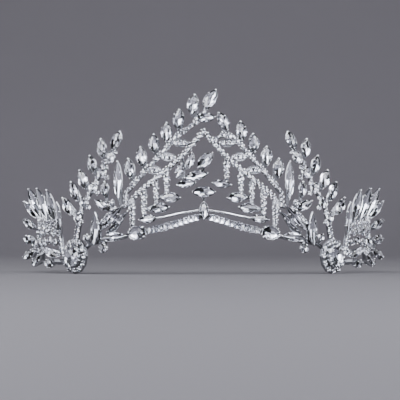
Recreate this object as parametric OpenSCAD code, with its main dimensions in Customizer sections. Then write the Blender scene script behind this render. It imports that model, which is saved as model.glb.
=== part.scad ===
// A rhinestone crown: one soldered metal frame with a cup for each large stone and strips for
// the small ones, flat-backed cut stones just clear of them, and a ribbon ring in a ferrule
// at each end. The front faces -Y, up is +Z, and the crown rests on z = 0 on its two ribbon
// rings and its two flowers.
// A place on the crown is [along, height]: along is the arc length from the centre line,
// positive to the right as seen from the front, and height is above the floor, in mm.
// The origin is on the floor, at the middle of the whole crown.

/* [Crown] */
// Radius of the crown's plan, at the widest line of the stones
crown_r = 72; // [70:0.5:75]

/* [Cut stones] */
// Metal rim left round a stone, seen from the front
rim = 0.4; // [0.3:0.05:0.5]
// Gap between a stone and the metal round it
seat_gap = 0.15; // [0.12:0.01:0.2]
// Height of a large stone, as a share of its width
crown_share = 0.3; // [0.2:0.01:0.35]
// Depth of the cup behind a stone
cup_depth = 2.0; // [1.9:0.05:2.2]
// Size of a stone's flat table against its outline
table_share = 0.55; // [0.45:0.05:0.65]

/* [Small round stones] */
// Diameter of the stones along the brow line
brow_d = 2.0; // [1.7:0.1:2.0]
// Diameter of the stones along the stems and drops
stem_d = 1.9; // [1.5:0.1:1.9]
// Height of a small round stone
round_h = 0.8; // [0.6:0.1:1]

/* [Metal] */
// Width of the strips that carry small stones
strip_w = 1.5; // [1.2:0.1:1.6]
// Thickness of the strips
strip_t = 1.1; // [0.9:0.1:1.2]
// Diameter of the base wire
wire_d = 1.5; // [1.3:0.1:1.6]
// Diameter of the arms behind the wings
arm_d = 2.2; // [1.8:0.1:2.4]
// Thickness of the thin branches
branch_d = 1.0; // [0.8:0.1:1.2]

/* [Flowers] */
// Diameter of a flower's back plate
flower_d = 14.2; // [14:0.1:14.6]
// Diameter of a flower's middle stone
heart_d = 7.2; // [6.6:0.1:7.4]
// Diameter of the stones round the middle stone
halo_d = 1.9; // [1.6:0.1:2.0]
// Number of stones round the middle stone
halo_count = 12; // [10:1:12]

/* [Ribbon rings] */
// Diameter of the hole that takes a ribbon
ring_bore_d = 5.4; // [4.8:0.1:5.6]
// Outside diameter of a ribbon ring
ring_d = 7.8; // [7.4:0.1:8.2]
// Thickness of a ribbon ring along its axis
ring_t = 1.3; // [1:0.1:1.6]
// Distance of a ring's centre to the side of the centre line
ring_x = 59.8; // [58:0.2:62]
// Distance of a ring's centre behind the crown's widest line
ring_y = 40.3; // [39:0.1:42]
// Turn of a ring's plane away from the left to right line
ring_turn = 50; // [45:1:55]
// Diameter of the ring's shank
shank_d = 1.4; // [1.2:0.1:1.5]
// Length of the ring's shank from the ring's edge
shank_l = 3.4; // [3:0.1:4]

/* [Hidden] */

metal_colour = [0.83, 0.84, 0.86];
stone_colour = [0.92, 0.94, 0.97];

// Distances out of the crown's plan at which metal lies: the tops of cups and strips, and
// the middles of wires and branches
metal_top = -0.1;
wire_depth = -1.8;
branch_depth = -1.5;
// Edges on each side of a pointed stone, and round a round one
leaf_sides = 4;
round_sides = 8;
// Length of the ridge at the back of a cup, against the cup's own length, and at least
ridge_share = 0.6;
ridge_least = 0.6;

// Leaves: foot along, foot height, tip along, tip height, width, outward tilt in degrees,
// and for some a turn about their own length, in degrees, that faces them more to the front.
// The sizes are those of the setting, and the stone is one rim smaller all round.
peak_leaf = [-0.2, 63.2, 4.9, 72.0, 4.8, 0];
outer_leaves_l = [
    [ -5.0, 61.6,  -3.4, 70.0, 4.7, 0],
    [ -3.9, 60.5,   4.6, 60.9, 4.0, 0],
    [-10.2, 55.9,  -9.4, 64.3, 4.7, 0],
    [-14.6, 50.9, -14.4, 59.2, 4.6, 0],
    [-19.4, 46.7, -19.6, 54.8, 4.5, 0],
    [-24.3, 41.5, -25.0, 49.9, 4.5, 0],
    [-29.2, 37.0, -30.2, 45.4, 4.5, 0]
];
outer_leaves_r = [
    [  9.5, 55.6,   5.4, 63.0, 4.4, 0],
    [ 14.8, 51.2,  14.2, 59.7, 4.6, 0],
    [ 19.8, 46.8,  19.2, 55.0, 4.5, 0],
    [ 24.9, 41.9,  24.7, 50.2, 4.5, 0],
    [ 29.7, 37.2,  30.0, 45.6, 4.5, 0]
];
apex_leaf = [-2.6, 40.9, 3.6, 47.4, 4.6, 0];
apex_leaves_l = [
    [-10.6, 37.3,  -8.4, 43.4, 3.2, 0],
    [ -5.6, 40.8,  -4.5, 47.6, 3.2, 0],
    [ -7.7, 37.3,   1.8, 39.3, 4.0, 0]
];
centre_leaf = [-4.7, 32.0, 4.7, 32.0, 4.4, 0];
centre_drop_leaf = [0, 20.8, 0, 28.6, 3.9, 0];
// The leaves below are the same on both sides, given for the right-hand one
link_leaves = [
    [12.8, 51.0,  5.4, 50.8, 3.5, 0],
    [18.0, 45.9, 10.0, 45.2, 3.5, 0],
    [23.6, 40.8, 15.9, 40.4, 3.5, 0]
];
inner_leaves = [
    [11.0, 34.7,  2.8, 35.6, 3.4, 0],
    [17.0, 30.0,  8.6, 29.8, 4.2, 0],
    [21.4, 25.4, 13.0, 26.2, 4.2, 0],
    [26.0, 21.2, 17.9, 22.2, 3.6, 0]
];
long_leaf = [34.6, 28.8, 34.9, 44.6, 3.8, 0];
second_leaves = [
    [37.4, 48.4, 33.6, 56.2, 4.4, 0],
    [42.2, 45.6, 42.8, 53.6, 4.4, 0],
    [46.4, 39.2, 48.4, 47.2, 4.4, 0],
    [50.8, 33.4, 54.0, 41.6, 4.5, 0],
    [55.4, 28.8, 59.3, 37.0, 4.4, 0],
    [59.2, 23.4, 64.8, 30.8, 4.4, 0],
    [40.9, 30.2, 40.9, 36.8, 3.8, 0],
    [37.2, 25.0, 45.6, 29.0, 3.9, 0]
];
fan_upright_leaf = [46.4, 10.8, 44.6, 24.8, 4.0, 4];
fan_diagonal_leaf = [43.0, 17.0, 31.8, 27.3, 3.3, 2];
fan_slim_leaf = [40.0, 16.3, 29.7, 25.0, 2.5, 2];
fan_flat_leaf = [42.8, 14.0, 30.4, 15.2, 3.7, 2];
side_upright_leaf = [66.9, 15.0, 67.2, 29.2, 3.2, 6, 20];
wing_front_leaf = [72.2, 21.2, 74.2, 34.4, 4.3, 10, 30];
wing_middle_leaf = [78.0, 21.8, 82.2, 35.4, 4.4, 13, 30];
wing_back_leaf = [84.6, 22.2, 91.4, 35.6, 4.4, 16, 30];
wing_leaves = [
    [ 91.4, 22.6,  99.6, 30.8, 4.2, 24],
    [ 95.4, 18.4, 105.0, 22.8, 4.2, 28],
    [ 96.0, 13.4, 106.4, 14.4, 4.2, 28],
    [ 94.6,  8.8, 104.6,  5.8, 4.2, 26],
    [ 84.4,  7.6,  92.8,  2.9, 3.8, 10],
    [ 67.8,  6.6,  80.6, 10.2, 3.4, 4],
    [ 72.2,  3.2,  81.2,  4.6, 3.6, 0],
    [107.0,  9.8, 117.6, 12.8, 4.2, 8],
    [107.4,  4.6, 117.4,  3.8, 3.8, 6]
];

// Single round stones of a wing: along, height, diameter
wing_rounds = [
    [72.4, 16.8, 3.4], [77.0, 17.6, 3.6], [71.0, 12.6, 3.0], [75.6, 13.4, 3.4],
    [82.6, 17.4, 4.4], [80.4, 12.7, 3.2], [86.6, 12.2, 4.6], [89.2, 17.6, 3.8],
    [98.8, 3.6, 2.8], [41.6, 10.2, 3.9], [50.4, 14.6, 3.0], [37.8, 28.2, 2.6],
    [119.8, 8.6, 3.2], [121.2, 5.0, 3.0], [124.4, 7.4, 2.6], [125.0, 4.2, 2.6]
];

// Metal lines, right-hand side: along, height
brow_line = [[0, 55.4], [3.2, 51.8], [7, 47.3], [11.6, 43], [19.5, 36.7], [26, 31.8],
    [31.4, 26.6]];
spray_line_l = [[1.2, 64.0], [-3.4, 58.6], [-10.8, 53.4], [-15, 48.5], [-24, 39.4],
    [-31.4, 31.8], [-31.4, 26.6]];
spray_line_r = [[3.2, 51.8], [7.6, 54.2], [11.4, 53.4], [15.6, 48.9], [24.4, 39.4],
    [31.4, 31.8], [31.4, 26.6]];
apex_branch = [[-8.4, 46.0], [-7.6, 36.6]];
// Drops: along, top height, bottom height, first stone below the top, number of stones
drops = [
    [ 8.8, 45.6, 35.4, 3.1, 3],
    [14.4, 40.6, 30.6, 3.0, 3],
    [18.7, 37.3, 26.4, 3.0, 3],
    [23.6, 33.8, 22.0, 3.0, 4],
    [28.6, 29.4, 17.6, 3.1, 4]
];
drop_pitch = 2.1;
brow_pitch = 2.2;
brow_count = 18;
rail_low = [[0, 22.6], [4, 21.9], [15, 18.5], [26.4, 16.2]];
rail_high = [[0, 25.2], [8, 24.0], [19, 21.8]];
centre_post = [[0, 27.4], [0, 31.4]];
fan_line = [[31.4, 26.6], [37.2, 25.4], [44.6, 19], [44.4, 12.8]];
second_line = [[38.8, 46.6], [42.6, 42.2], [45.8, 36.4], [53.4, 26.4], [56.8, 12]];
base_line = [[26.4, 16.2], [34, 14.4], [44.4, 12.8], [50, 12], [57.6, 7.1], [67, 8.2],
    [84, 9.6], [97, 8]];
wing_loop = [[67, 8.2], [68.4, 14], [71.4, 20.2], [82, 21.2], [92, 21.4], [95.2, 15.4],
    [93.4, 8.8]];
wing_rib = [[68.2, 12.8], [81, 12.8], [95.4, 12.4], [109, 10], [119.8, 8.6]];
struts = [
    [[76.4, 9.2], [76.8, 4.6]], [[98.6, 7.8], [98.8, 3.6]], [[119.8, 8.6], [124.4, 7.4]],
    [[88, 9.4], [88.4, 5.4]], [[41.2, 26.8], [40.9, 33.4]]
];
apex_strut = [[-0.6, 39.0], [0.4, 44.0]];
// The arm from a wing back to its ferrule: along, height, distance out of the crown's plan
arm_line = [[97, 8, -1.8], [108, 5.6, -1.7], [126, 4.9, -1.6], [137, 4.2, 1.8]];
// How far a leaf's own tail may reach to the metal line that carries it
tail_reach = 5.6;
tail_d = 0.9;
tail_out = [-1.5, -0.8];

ring_z = ring_d / 2;
// The shank starts inside the ring's rim, at this distance from the ring's centre
shank_root = (ring_bore_d + ring_d) / 4;
ferrule_l = 3.8;
ferrule_d = 2.6;
// The arm ends this far inside the ferrule, the shank this far short of the hole's bottom,
// and the ring's edge this far from the ferrule
ferrule_lap = 0.6;
shank_end_gap = 0.3;
shank_gap = 0.5;
shank_clearance = 0.45;
flower_at = [57.6, flower_d / 2];
flower_out = 0.6;
plate_t = 1.0;
plate_top = -0.8;
halo_r = 5.9;
end_stone_at = [26.4, 16.2];
end_stone_size = [6.4, 4.4];
end_stone_lean = 8;

// The plan's centre lies in front of the origin by this much, so that the origin is midway
// between the peak stone's table and the back of the rings
front_reach = crown_r + metal_top + seat_gap + peak_leaf[4] * crown_share;
back_reach = ring_y + ring_d / 2 * sin(ring_turn) + ring_t / 2 * cos(ring_turn);
plan_y = (front_reach - back_reach) / 2;

// Places on the crown

function turn_of(along) = along * 180 / (PI * crown_r);
function on_crown(p, out = 0) = let (a = turn_of(p.x), r = crown_r + out)
    [r * sin(a), plan_y - r * cos(a), p.y];
function mirrored(rows) = [for (r = rows) [for (i = [0:len(r) - 1])
    i == 0 || (i == 2 && len(r) > 3) || i == 6 ? -r[i] : r[i]]];
function sided(rows, side) = side > 0 ? rows : mirrored(rows);

function foot(leaf) = [leaf[0], leaf[1]];
function tip(leaf) = [leaf[2], leaf[3]];
function leaf_l(leaf) = norm(tip(leaf) - foot(leaf));
function leaf_lean(leaf) = atan2(leaf[2] - leaf[0], leaf[3] - leaf[1]);

function walk(line, s, i = 1) = let (step = norm(line[i] - line[i - 1]))
    s <= step || i == len(line) - 1
        ? line[i - 1] + (line[i] - line[i - 1]) * s / step
        : walk(line, s - step, i + 1);
function along_line(line, first, pitch, count) =
    [for (i = [0:count - 1]) walk(line, first + i * pitch)];
function nearest_on(p, a, b) = let (t = (p - a) * (b - a) / ((b - a) * (b - a)))
    a + (b - a) * max(0, min(1, t));
// The nearest point to a place on any of several lines
function nearest(p, lines) = let (
    feet = [for (line = lines) for (i = [1:len(line) - 1]) nearest_on(p, line[i - 1], line[i])],
    gaps = [for (f = feet) norm(f - p)],
    least = min(gaps))
    [for (i = [0:len(feet) - 1]) if (gaps[i] == least) feet[i]][0];

module at(p, lean = 0, out = 0)
    translate(on_crown(p, out)) rotate([90, 0, turn_of(p.x)]) rotate([0, 0, -lean])
        children();

// Puts a shape on a leaf's place, with the leaf's foot staying on the crown's plan
module on_leaf(leaf) {
    half = leaf_l(leaf) / 2;
    twist = len(leaf) > 6 ? leaf[6] : 0;
    at((foot(leaf) + tip(leaf)) / 2, leaf_lean(leaf))
        translate([0, -half, 0]) rotate([leaf[5], 0, 0]) translate([0, half, 0])
            rotate([0, -twist, 0]) children();
}

// Outlines

function pointed_outline(l, w) = let (
    r = (l * l + w * w) / (4 * w), half = asin(l / (2 * r)), n = leaf_sides)
    [for (side = [1, -1]) for (i = [0:n - 1])
        let (a = side * (2 * half * i / n - half))
        [side * (r * cos(a) - r + w / 2), r * sin(a)]];
function round_outline(d) = [for (i = [0:round_sides - 1])
    let (a = 360 * (i + 0.5) / round_sides) d / 2 * [cos(a), sin(a)]];
function oblong_outline(size) = let (c = size.y * 0.28, x = size.x / 2, y = size.y / 2)
    [[x, c - y], [x, y - c], [x - c, y], [c - x, y], [-x, y - c], [-x, c - y],
     [c - x, -y], [x - c, -y]];

// A ring of outline points at one height
function level(outline, share, z) = [for (p = outline) [p.x * share, p.y * share, z]];

// A closed solid between two levels of like outlines
module slab(low, high) {
    n = len(low);
    hull() polyhedron(concat(low, high), concat(
        [[for (i = [0:n - 1]) i]],
        [for (i = [0:n - 1]) [i, n + i, n + (i + 1) % n, (i + 1) % n]],
        [[for (i = [n - 1:-1:0]) n + i]]));
}

// A cut stone: flat table, slanted facets and a flat back
module cut_stone(outline, height) slab(
    level(outline, 1, metal_top + seat_gap),
    level(outline, table_share, metal_top + seat_gap + height));

// A cup behind a cut stone: a flat rim and a ridge along the back
module cup(outline, ridge = 0) {
    n = len(outline);
    end = max(ridge * ridge_share, ridge_least) / 2;
    rim_level = level(outline, 1, metal_top);
    back = [[0, -end, -cup_depth], [0, end, -cup_depth]];
    hull() polyhedron(concat(rim_level, back), concat(
        [[for (i = [n - 1:-1:0]) i]],
        [for (i = [0:n - 1]) [i, (i + 1) % n, n + (i < n / 4 || i >= 3 * n / 4 ? 0 : 1)]],
        [[n / 4, n + 1, n], [3 * n / 4, n, n + 1]]));
}

module leaf_stone(leaf) on_leaf(leaf)
    cut_stone(pointed_outline(leaf_l(leaf) - 3.2 * rim, leaf[4] - 2 * rim),
        leaf[4] * crown_share);
// A cup's tail runs from under its foot to the line that carries it, where that is near
module leaf_cup(leaf, lines) hull() {
    on_leaf(leaf) cup(pointed_outline(leaf_l(leaf), leaf[4]), leaf_l(leaf));
    tail(foot(leaf), lines);
}
module tail(p, lines) {
    end = nearest(p, lines);
    if (norm(end - p) < tail_reach) at(end, 0, tail_out[0])
        cylinder(h = tail_out[1] - tail_out[0], d = tail_d, $fn = 3);
}

module round_stone(row) at(row)
    cut_stone(round_outline(row[2] - 2 * rim), row[2] * crown_share);
module round_cup(row, lines) hull() {
    at(row) cup(round_outline(row[2]));
    tail([row[0], row[1]], lines);
}
module bead_stone(p, d) at(p) cut_stone(round_outline(d), round_h);

// A bar of metal through points in space, flat to the crown's plan
module bar(points, w, t, sides = 4) {
    n = len(points);
    k = 1 / cos(180 / sides);
    rings = [for (i = [0:n - 1]) let (
        p = points[i],
        run = points[min(i + 1, n - 1)] - points[max(i - 1, 0)],
        ahead = run / norm(run),
        outward = [p.x, p.y - plan_y, 0] / norm([p.x, p.y - plan_y]),
        across = cross(outward, ahead) / norm(cross(outward, ahead)),
        up = cross(ahead, across))
        [for (j = [0:sides - 1]) let (a = 360 * (j + 0.5) / sides)
            p + across * (w / 2 * k * cos(a)) + up * (t / 2 * k * sin(a))]];
    faces = concat(
        [[for (j = [0:sides - 1]) j]],
        [for (i = [0:n - 2]) for (j = [0:sides - 1])
            [i * sides + j, (i + 1) * sides + j, (i + 1) * sides + (j + 1) % sides,
             i * sides + (j + 1) % sides]],
        [[for (j = [sides - 1:-1:0]) (n - 1) * sides + j]]);
    polyhedron([for (r = rings) for (p = r) p], faces);
}
module strip(line)
    bar([for (p = line) on_crown(p, metal_top - strip_t / 2)], strip_w, strip_t);
module branch(line) bar([for (p = line) on_crown(p, branch_depth)], branch_d, branch_d);
module wire(line) bar([for (p = line) on_crown(p, wire_depth)], wire_d, wire_d, 5);

// Tables for one side

wing_tall = [wing_front_leaf, wing_middle_leaf, wing_back_leaf];
function drop_line(row) = [[row[0], row[1]], [row[0], row[2]]];
side_lines = concat([brow_line, fan_line, second_line, base_line, wing_loop, wing_rib],
    [for (row = drops) drop_line(row)], struts, [[for (p = arm_line) [p[0], p[1]]]]);
side_leaves = concat(inner_leaves, second_leaves, wing_leaves,
    [long_leaf, fan_upright_leaf, fan_diagonal_leaf, fan_slim_leaf, fan_flat_leaf,
     side_upright_leaf], wing_tall);
middle_leaves = [apex_leaf, centre_leaf, centre_drop_leaf];
function plate_level(z) = [for (a = [0:30:330]) concat(flower_d / 2 * [cos(a), sin(a)], z)];

module end_stone_place(side)
    at([side * end_stone_at.x, end_stone_at.y], side * end_stone_lean) children();
// A drop is one to each side, but the one nearest the middle is on the right alone
function side_drops(side) = [for (i = [side > 0 ? 0 : 1:len(drops) - 1])
    concat(side * drops[i][0], [for (j = [1:4]) drops[i][j]])];

// Metal

module side_metal(side) {
    lines = [for (line = side_lines) sided(line, side)];
    for (leaf = sided(side_leaves, side)) leaf_cup(leaf, lines);
    for (row = sided(wing_rounds, side)) round_cup(row, lines);
    for (leaf = sided(link_leaves, side)) {
        leaf_cup(leaf, [side > 0 ? spray_line_r : spray_line_l]);
        branch([(foot(leaf) + tip(leaf)) / 2, nearest(tip(leaf), [sided(brow_line, side)])]);
    }
    at(sided([flower_at], side)[0], 0, flower_out) {
        cup(round_outline(heart_d + 2 * rim));
        slab(plate_level(plate_top - plate_t), plate_level(plate_top));
    }
    end_stone_place(side) cup(oblong_outline(end_stone_size + 2 * rim * [1, 1]));
    strip(sided(brow_line, side));
    for (row = side_drops(side)) strip(drop_line(row));
    strip(sided(rail_low, side));
    strip(sided(second_line, side));
    branch(sided(rail_high, side));
    branch(sided(fan_line, side));
    branch(sided(wing_loop, side));
    branch(sided(wing_rib, side));
    for (strut = struts) branch(sided(strut, side));
    wire(sided(base_line, side));
    arm(side);
}

// The ring's own direction: away from the ferrule, level with the floor
function ring_way(side) = [-side * cos(ring_turn), sin(ring_turn), 0];
function ring_centre(side) = [side * ring_x, plan_y + ring_y, ring_z];
function mouth(side) = ring_centre(side) - ring_way(side) * (ring_d / 2 + shank_gap);

// A line with a point added in the middle of each step, on a curve through all its points
function halfway(p, i) = let (n = len(p) - 1)
    (9 * (p[i] + p[i + 1]) - p[max(i - 1, 0)] - p[min(i + 2, n)]) / 16;
function eased(p) = concat(
    [for (i = [0:len(p) - 2]) each [p[i], halfway(p, i)]], [p[len(p) - 1]]);

module arm(side) {
    end = mouth(side);
    back = end - ring_way(side) * ferrule_l;
    way = concat([for (p = arm_line) on_crown([side * p[0], p[1]], p[2])],
        [back + ring_way(side) * ferrule_lap]);
    bar(eased(way), arm_d, arm_d, 6);
    bar([back, end], ferrule_d, ferrule_d, 8);
}
module shank_room(side) {
    end = mouth(side);
    bottom = end - ring_way(side) * (shank_l - shank_gap + shank_end_gap);
    room_d = shank_d + shank_clearance;
    bar([bottom, end + ring_way(side)], room_d, room_d, 12);
}

module frame() color(metal_colour) difference() {
    union() {
        for (leaf = middle_leaves) leaf_cup(leaf, [centre_post]);
        for (leaf = concat([peak_leaf], outer_leaves_l)) leaf_cup(leaf, [spray_line_l]);
        for (leaf = outer_leaves_r) leaf_cup(leaf, [spray_line_r]);
        for (leaf = apex_leaves_l) leaf_cup(leaf, [apex_branch]);
        strip(spray_line_l);
        strip(spray_line_r);
        branch(apex_branch);
        branch(apex_strut);
        branch(centre_post);
        for (side = [-1, 1]) side_metal(side);
    }
    for (side = [-1, 1]) shank_room(side);
}

// A ribbon ring, flat in its own upright plane, with a round shank
module ribbon_ring(side) color(metal_colour)
    translate(ring_centre(side)) rotate([0, 0, side > 0 ? -ring_turn : 180 + ring_turn])
        rotate([90, 0, 0]) difference() {
            union() {
                cylinder(h = ring_t, d = ring_d, center = true, $fn = 64);
                rotate([0, 90, 0]) translate([0, 0, shank_root])
                    cylinder(h = shank_l + ring_d / 2 - shank_root, d = shank_d, $fn = 32);
            }
            cylinder(h = 2 * ring_t, d = ring_bore_d, center = true, $fn = 64);
        }

// Stones

module one_leaf(leaf, side) color(stone_colour) leaf_stone(sided([leaf], side)[0]);
module leaf_field(leaves, side = 1) color(stone_colour)
    for (leaf = sided(leaves, side)) leaf_stone(leaf);
module bead_row(points, d) color(stone_colour) for (p = points) bead_stone(p, d);
module end_stone(side) color(stone_colour) end_stone_place(side)
    cut_stone(oblong_outline(end_stone_size), end_stone_size.y * crown_share);
module flower_heart(side) color(stone_colour) at(sided([flower_at], side)[0], 0, flower_out)
    cut_stone(round_outline(heart_d), heart_d * crown_share);
module wing_round_field(side) color(stone_colour)
    for (row = sided(wing_rounds, side)) round_stone(row);
module halo_rounds(side) color(stone_colour)
    at(sided([flower_at], side)[0], 0, flower_out + plate_top - metal_top)
        for (i = [0:halo_count - 1])
            translate(halo_r * [cos(360 * i / halo_count), sin(360 * i / halo_count), 0])
                cut_stone(round_outline(halo_d), round_h);
module drop_rounds(side) color(stone_colour)
    for (row = side_drops(side))
        for (p = along_line(drop_line(row), row[3], drop_pitch, row[4])) bead_stone(p, stem_d);

frame();
ribbon_ring(-1);  // ring_left
ribbon_ring(1);  // ring_right
one_leaf(centre_leaf, 1);  // centre_stone
one_leaf(centre_drop_leaf, 1);  // centre_drop
one_leaf(peak_leaf, 1);  // peak_stone
one_leaf(apex_leaf, 1);  // apex_stone
one_leaf(long_leaf, -1);  // long_left
one_leaf(long_leaf, 1);  // long_right
one_leaf(fan_upright_leaf, -1);  // fan_upright_left
one_leaf(fan_upright_leaf, 1);  // fan_upright_right
one_leaf(fan_diagonal_leaf, -1);  // fan_diagonal_left
one_leaf(fan_diagonal_leaf, 1);  // fan_diagonal_right
one_leaf(fan_slim_leaf, -1);  // fan_slim_left
one_leaf(fan_slim_leaf, 1);  // fan_slim_right
one_leaf(fan_flat_leaf, -1);  // fan_flat_left
one_leaf(fan_flat_leaf, 1);  // fan_flat_right
end_stone(-1);  // end_stone_left
end_stone(1);  // end_stone_right
one_leaf(side_upright_leaf, -1);  // side_upright_left
one_leaf(side_upright_leaf, 1);  // side_upright_right
flower_heart(-1);  // flower_heart_left
flower_heart(1);  // flower_heart_right
one_leaf(wing_front_leaf, -1);  // wing_front_left
one_leaf(wing_front_leaf, 1);  // wing_front_right
one_leaf(wing_middle_leaf, -1);  // wing_middle_left
one_leaf(wing_middle_leaf, 1);  // wing_middle_right
one_leaf(wing_back_leaf, -1);  // wing_back_left
one_leaf(wing_back_leaf, 1);  // wing_back_right
leaf_field(outer_leaves_l);  // outer_leaves_left
leaf_field(outer_leaves_r);  // outer_leaves_right
leaf_field(apex_leaves_l);  // apex_leaves
leaf_field(link_leaves, -1);  // link_leaves_left
leaf_field(link_leaves, 1);  // link_leaves_right
leaf_field(inner_leaves, -1);  // inner_leaves_left
leaf_field(inner_leaves, 1);  // inner_leaves_right
leaf_field(second_leaves, -1);  // second_leaves_left
leaf_field(second_leaves, 1);  // second_leaves_right
leaf_field(wing_leaves, -1);  // wing_leaves_left
leaf_field(wing_leaves, 1);  // wing_leaves_right
wing_round_field(-1);  // wing_rounds_left
wing_round_field(1);  // wing_rounds_right
bead_row(along_line(mirrored(brow_line), 0, brow_pitch, brow_count), brow_d);  // brow_rounds_left
bead_row(along_line(brow_line, brow_pitch, brow_pitch, brow_count - 1), brow_d);  // brow_rounds_right
drop_rounds(-1);  // drop_rounds_left
drop_rounds(1);  // drop_rounds_right
halo_rounds(-1);  // halo_rounds_left
halo_rounds(1);  // halo_rounds_right
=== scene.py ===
"""The looks of an open rhinestone crown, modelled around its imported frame.

The stones are cut from blocks, set in thin walls on the frame's cups and held by claws, and
the metal gets its polish. Run as a script, it makes everything and sets the stage.
"""
import math
from collections import namedtuple

import bpy
from bpy.props import FloatProperty, FloatVectorProperty, PointerProperty
from mathutils import Matrix, Vector
from mathutils.bvhtree import BVHTree


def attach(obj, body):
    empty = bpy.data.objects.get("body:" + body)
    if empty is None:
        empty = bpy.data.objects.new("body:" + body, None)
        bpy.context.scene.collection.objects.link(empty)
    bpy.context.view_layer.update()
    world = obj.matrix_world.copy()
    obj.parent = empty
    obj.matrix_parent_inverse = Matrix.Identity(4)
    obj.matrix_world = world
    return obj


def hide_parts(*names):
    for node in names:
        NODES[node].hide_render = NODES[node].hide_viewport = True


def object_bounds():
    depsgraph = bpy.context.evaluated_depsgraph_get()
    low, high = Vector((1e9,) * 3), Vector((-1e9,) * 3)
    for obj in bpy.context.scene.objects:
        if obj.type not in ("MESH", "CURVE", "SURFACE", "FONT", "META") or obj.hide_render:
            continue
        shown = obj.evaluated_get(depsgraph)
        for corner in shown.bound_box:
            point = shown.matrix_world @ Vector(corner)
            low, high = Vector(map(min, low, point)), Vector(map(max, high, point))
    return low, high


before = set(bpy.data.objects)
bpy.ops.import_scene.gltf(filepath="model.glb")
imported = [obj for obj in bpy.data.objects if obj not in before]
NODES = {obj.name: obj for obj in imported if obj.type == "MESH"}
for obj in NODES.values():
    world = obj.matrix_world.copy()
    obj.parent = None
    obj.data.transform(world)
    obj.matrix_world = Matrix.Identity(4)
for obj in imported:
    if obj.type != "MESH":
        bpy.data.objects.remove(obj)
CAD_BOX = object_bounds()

bl_info = {
    "name": "Rhinestone Crown",
    "version": (1, 0, 0),
    "blender": (4, 5, 0),
    "location": "View3D > Sidebar > Crown",
    "description": "Cuts and sets the stones of a rhinestone crown and polishes its metal",
    "category": "Object",
}

MM = 0.001
UP = Vector((0, 0, 1))
SIDES = {"right": 1, "left": -1}

# Radius of the crown's plan, and how far the front stone stands out of it
CROWN_R, FRONT_STONE_OUT = 72 * MM, 1.49 * MM
PLAN_Y = CAD_BOX[0].y + CROWN_R + FRONT_STONE_OUT

# Lines on the metal, as along and height in millimetres; all but the sprays' are the right side's
SPRAY_LINES = {
    "left": [(1.2, 64.0), (-3.4, 58.6), (-10.8, 53.4), (-15, 48.5), (-24, 39.4),
             (-31.4, 31.8), (-31.4, 26.6)],
    "right": [(3.2, 51.8), (7.6, 54.2), (11.4, 53.4), (15.6, 48.9), (24.4, 39.4),
              (31.4, 31.8), (31.4, 26.6)],
}
SECOND_LINE = [(38.8, 46.6), (42.6, 42.2), (45.8, 36.4), (53.4, 26.4), (56.8, 12)]
# Ovals on a second stem: along, height, lean in degrees
SECOND_OVALS = [(38.3, 45.8, 20), (42.4, 40.0, 30), (46.9, 34.0, 35), (51.7, 28.3, 35),
                (55.2, 22.6, 20)]
RAIL_LOW = [(0, 22.6), (4, 21.9), (15, 18.5), (26.4, 16.2)]
RAIL_HIGH = [(0, 25.2), (8, 24.0), (19, 21.8)]
# The wing's loop, rib and base, and the fan, studded where there is room
STUD_LINES = (
    [(67, 8.2), (68.4, 14), (71.4, 20.2), (82, 21.2), (92, 21.4), (95.2, 15.4), (93.4, 8.8)],
    [(68.2, 12.8), (81, 12.8), (95.4, 12.4), (109, 10), (119.8, 8.6)],
    [(67, 8.2), (84, 9.6), (97, 8)],
    [(31.4, 26.6), (37.2, 25.4), (44.6, 19), (44.4, 12.8)],
)

# Directions, in degrees around a stone, in which its back facets lie in shade, painted dark on
# their foil
SHADED = ((25, 60), (195, 250))
WING_SHADED = ((12, 80), (130, 150), (188, 262))
# Radius of a pointed outline's sides, and how far its tip moves out for each bit that they do
LEAF_ARC, LEAF_TIP = 1.25, 1.67
# Thickness of a stone's wall, and its height above the girdle
WALLS = {"leaf": (0.045, 0.1), "small": (0.06, 0.08), "large": (0.06, 0.1),
         "oblong": (0.07, 0.1), "baguette": (0.05, 0.06)}
# Height of a small stone that has no solid
STUD_HEIGHT = 0.8 * MM
# Claws: height on a flat-sided stone against the stone's, step out of its edge against the
# claw, and place of the side claws against its half length
CLAW_RISE, CLAW_STEP, SHOULDER = 0.72, 0.12, 0.42
# Width of the claws on leaves and studs, against a claw
FINE_CLAW = 0.8
# Places closer than this are the same
SAME_PLACE = 1e-6

Seat = namedtuple("Seat", "middle across along out width length height")


# ---- Sizes and colours that a user would change


def a_length(name, description, default, low, high):
    """A length, with its default and limits in millimetres."""
    return FloatProperty(name=name, description=description, default=default * MM,
                         min=low * MM, max=high * MM, unit="LENGTH")


def a_share(name, description, default, low, high):
    return FloatProperty(name=name, description=description, default=default, min=low, max=high,
                         subtype="FACTOR")


def a_colour(name, description, default):
    return FloatVectorProperty(name=name, description=description, default=default, size=3,
                               min=0, max=1, subtype="COLOR")


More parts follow.
